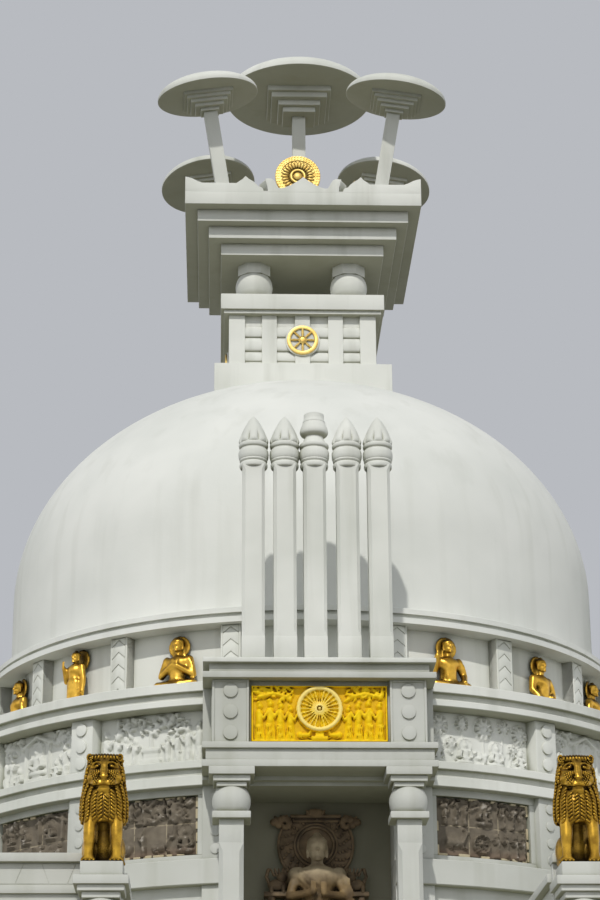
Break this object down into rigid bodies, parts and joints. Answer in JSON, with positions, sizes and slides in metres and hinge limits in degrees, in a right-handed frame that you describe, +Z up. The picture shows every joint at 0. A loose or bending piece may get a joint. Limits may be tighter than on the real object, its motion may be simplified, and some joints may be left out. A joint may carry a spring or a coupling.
{
  "type": "stupa",
  "caption": "White domed stupa on a square terrace with a front stair, porches with niches, bud-topped pillars, a box-shaped harmika and stone umbrellas.",
  "frame": {"origin": "on the ground under the middle of the dome", "axes": "+Z up, -Y towards the front porch and the stair, +X to the right seen from the front"},
  "size_m": [34.5764, 35.4217, 29.99],
  "materials": {
    "plaster": "weathered white lime plaster",
    "gilding": "gilded metal, satin",
    "gilt_paint": "gold-yellow painted relief",
    "brown_stone": "carved brown sandstone"
  },
  "bodies": {
    "root": {"dome": "plaster", "drum_foot": "plaster", "figure_tier": "plaster", "front_stair": "plaster", "golden_figure_1": "gilding", "golden_figure_10": "gilding", "golden_figure_11": "gilding", "golden_figure_12": "gilding", "golden_figure_2": "gilding", "golden_figure_3": "gilding", "golden_figure_4": "gilding", "golden_figure_5": "gilding", "golden_figure_6": "gilding", "golden_figure_7": "gilding", "golden_figure_8": "gilding", "golden_figure_9": "gilding", "harmika": "plaster", "harmika_cap": "plaster", "lion_left": "gilding", "lion_pillar_left": "plaster", "lion_pillar_right": "plaster", "lion_right": "gilding", "main_cornice": "plaster", "parapet_back": "plaster", "parapet_front_left": "plaster", "parapet_front_right": "plaster", "parapet_left": "plaster", "parapet_right": "plaster", "porch_back_columns": "plaster", "porch_back_hood": "plaster", "porch_back_panel": "gilt_paint", "porch_back_pillars": "plaster", "porch_back_statue": "brown_stone", "porch_front_columns": "plaster", "porch_front_hood": "plaster", "porch_front_panel": "gilt_paint", "porch_front_pillars": "plaster", "porch_front_statue": "brown_stone", "porch_left_columns": "plaster", "porch_left_hood": "plaster", "porch_left_panel": "gilt_paint", "porch_left_pillars": "plaster", "porch_left_statue": "brown_stone", "porch_right_columns": "plaster", "porch_right_hood": "plaster", "porch_right_panel": "gilt_paint", "porch_right_pillars": "plaster", "porch_right_statue": "brown_stone", "relief_tier": "plaster", "second_cornice": "plaster", "stepped_slab": "plaster", "stone_panel_tier": "plaster", "terrace_front_left": "plaster", "terrace_front_right": "plaster", "terrace_rear": "plaster", "umbrella_centre": "plaster", "umbrella_front_left": "plaster", "umbrella_front_right": "plaster", "umbrella_rear_left": "plaster", "umbrella_rear_right": "plaster"}
  },
  "joints": []
}
